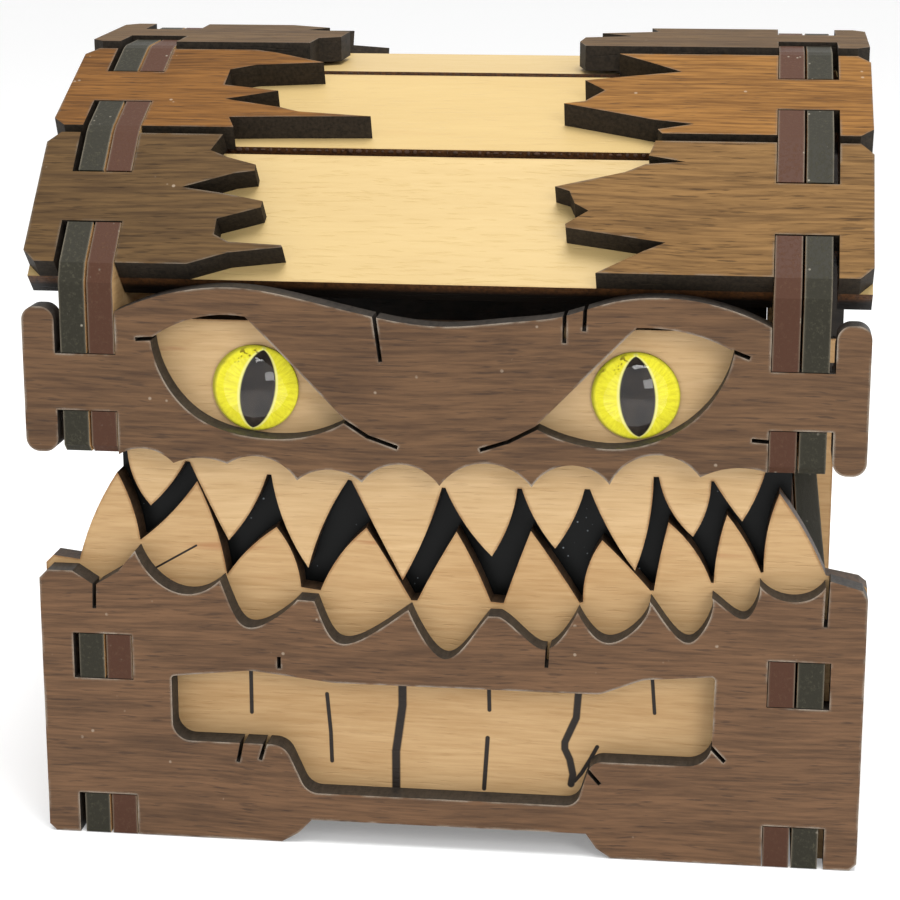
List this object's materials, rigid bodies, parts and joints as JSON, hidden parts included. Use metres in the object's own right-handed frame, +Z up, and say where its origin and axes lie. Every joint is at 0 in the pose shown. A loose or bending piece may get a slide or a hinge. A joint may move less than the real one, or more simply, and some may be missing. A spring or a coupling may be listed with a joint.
{
  "type": "dice storage chest",
  "caption": "Small hinged storage chest of layered plywood sheets, with an arched plank lid, a toothed jaw front with glass dome eyes and open jaw gaps at the sides.",
  "frame": {"origin": "bottom centre of the closed chest's overall box", "axes": "+Z up, front with the face towards -Y, +X to the right of someone facing the front"},
  "size_m": [0.0966, 0.0891, 0.0921],
  "materials": {
    "stained_ply": "stained plywood with fine grain, satin, scorched at the cut edges",
    "pale_ply": "pale plywood, satin, browned by the laser at the edges",
    "black_board": "glossy black sheet with pale flecks",
    "black_painted_ply": "black painted plywood, matte and speckled",
    "brown_ply": "dark brown stained plywood, matte",
    "iris_disc": "yellow iris with a black upright pupil",
    "eye_glass": "clear polished dome",
    "hinge_brass": "brushed brass"
  },
  "bodies": {
    "base": {"front_panel": "stained_ply", "lower_teeth": "pale_ply", "mouth_backing": "black_board", "floor_panel": "pale_ply", "back_panel": "stained_ply", "back_liner": "pale_ply", "base_side_inner_left": "brown_ply", "base_side_inner_right": "brown_ply", "base_side_outer_left": "black_painted_ply", "base_side_outer_right": "black_painted_ply", "base_hinge_leaf_left": "hinge_brass", "base_hinge_leaf_right": "hinge_brass", "hinge_pin_left": "hinge_brass", "hinge_pin_right": "hinge_brass", "base_hinge_screws": "hinge_brass"},
    "lid": {"face_panel": "stained_ply", "upper_teeth": "pale_ply", "lid_back_panel": "stained_ply", "lid_back_liner": "pale_ply", "lid_side_inner_left": "brown_ply", "lid_side_inner_right": "brown_ply", "lid_side_outer_left": "black_painted_ply", "lid_side_outer_right": "black_painted_ply", "lid_slat_front": "pale_ply", "lid_slat_upper_front": "pale_ply", "lid_slat_top": "pale_ply", "lid_slat_upper_back": "pale_ply", "lid_slat_back": "pale_ply", "board_front_left": "stained_ply", "board_front_right": "stained_ply", "board_upper_front_left": "stained_ply", "board_upper_front_right": "stained_ply", "board_top_left": "stained_ply", "board_top_right": "stained_ply", "board_upper_back_left": "stained_ply", "board_upper_back_right": "stained_ply", "board_back_left": "stained_ply", "board_back_right": "stained_ply", "iris_left": "iris_disc", "iris_right": "iris_disc", "eye_left": "eye_glass", "eye_right": "eye_glass", "lid_hinge_leaf_left": "hinge_brass", "lid_hinge_leaf_right": "hinge_brass", "lid_hinge_screws": "hinge_brass"}
  },
  "joints": [
    {"name": "lid_hinge", "type": "hinge", "parent": "base", "child": "lid", "pos_m": [0, 0.0428, 0.04675], "axis": [-1, 0, 0], "range_deg": [0, 110]}
  ]
}
